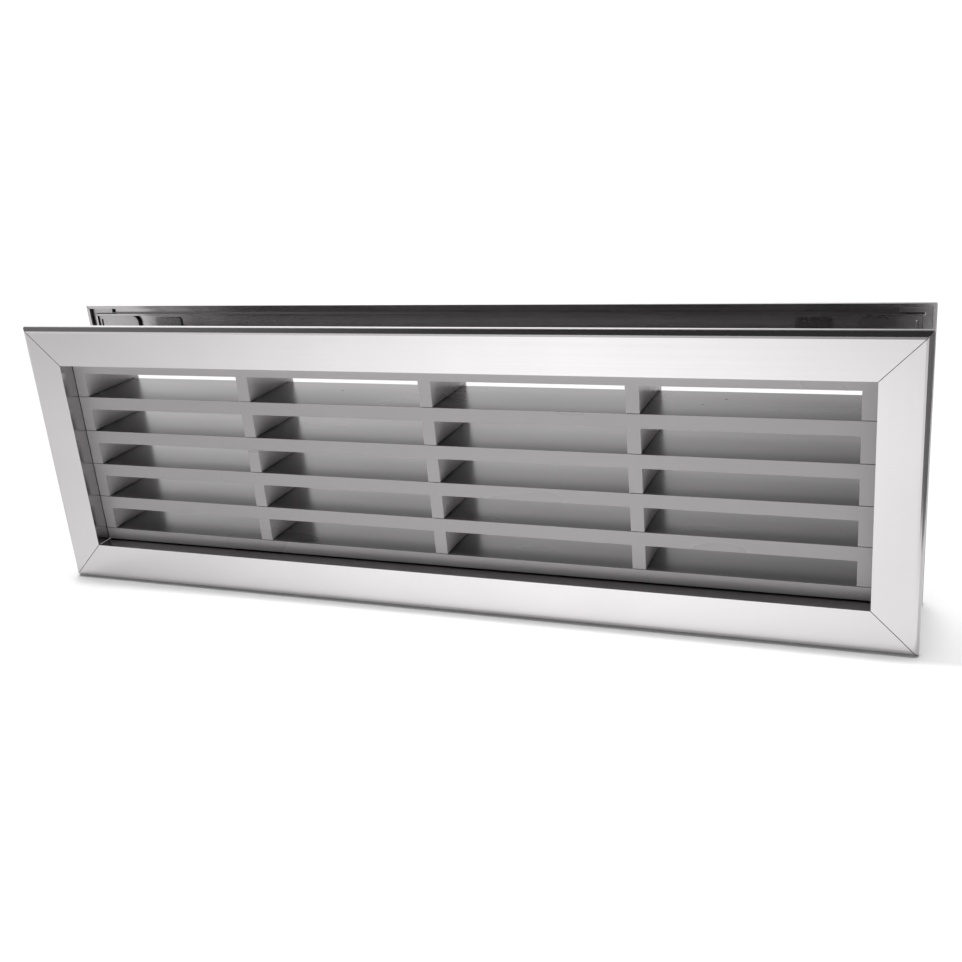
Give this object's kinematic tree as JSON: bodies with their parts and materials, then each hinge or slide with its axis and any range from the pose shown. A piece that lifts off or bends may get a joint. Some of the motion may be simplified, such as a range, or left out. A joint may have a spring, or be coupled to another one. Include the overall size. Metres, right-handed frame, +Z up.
{
  "type": "louvred door transfer grille",
  "caption": "Louvred transfer grille for a door: mitred aluminium front frame around a core of stacked slats, with a counter frame that slides over the back of the core.",
  "frame": {"origin": "centre of the grille's overall box, with the counter frame at its middle setting", "axes": "+X to the right seen from the front, +Y from the front face towards the counter frame, +Z up"},
  "size_m": [0.44, 0.056, 0.14],
  "materials": {
    "anodised_aluminium": "satin anodised, fine brushed grain along each section",
    "zinc_plated_key": "zinc plated, satin",
    "grey_slat_plastic": "smooth grey, semi-matt, moulded",
    "fastener_steel": "bright zinc plated steel",
    "spring_steel": "blue-grey spring steel strip"
  },
  "bodies": {
    "front_frame_and_core": {"front_frame_top": "anodised_aluminium", "front_frame_right": "anodised_aluminium", "front_frame_bottom": "anodised_aluminium", "front_frame_left": "anodised_aluminium", "front_corner_key_top_left": "zinc_plated_key", "front_corner_key_top_right": "zinc_plated_key", "front_corner_key_bottom_right": "zinc_plated_key", "front_corner_key_bottom_left": "zinc_plated_key", "front_edge_key_top_left": "zinc_plated_key", "front_edge_key_top_right": "zinc_plated_key", "front_edge_key_bottom_right": "zinc_plated_key", "front_edge_key_bottom_left": "zinc_plated_key", "slat_module_1": "grey_slat_plastic", "slat_module_2": "grey_slat_plastic", "slat_module_3": "grey_slat_plastic", "slat_module_4": "grey_slat_plastic", "slat_module_5": "grey_slat_plastic", "core_bottom_bar": "grey_slat_plastic", "core_screw_1": "fastener_steel", "core_screw_2": "fastener_steel", "core_screw_3": "fastener_steel", "core_screw_4": "fastener_steel"},
    "counter_frame": {"rear_frame_top": "anodised_aluminium", "rear_frame_right": "anodised_aluminium", "rear_frame_bottom": "anodised_aluminium", "rear_frame_left": "anodised_aluminium", "rear_corner_key_top_left": "zinc_plated_key", "rear_corner_key_top_right": "zinc_plated_key", "rear_corner_key_bottom_right": "zinc_plated_key", "rear_corner_key_bottom_left": "zinc_plated_key", "rear_edge_key_top_left": "zinc_plated_key", "rear_edge_key_top_right": "zinc_plated_key", "rear_edge_key_bottom_right": "zinc_plated_key", "rear_edge_key_bottom_left": "zinc_plated_key", "spring_clip_1": "spring_steel", "spring_clip_2": "spring_steel", "spring_clip_3": "spring_steel", "spring_clip_4": "spring_steel", "clip_rivet_1": "fastener_steel", "clip_rivet_2": "fastener_steel", "clip_rivet_3": "fastener_steel", "clip_rivet_4": "fastener_steel"}
  },
  "joints": [
    {"name": "counter_frame_slide", "type": "slide", "parent": "front_frame_and_core", "child": "counter_frame", "axis": [0, 1, 0], "range_m": [-0.0035, 0.0075]}
  ]
}
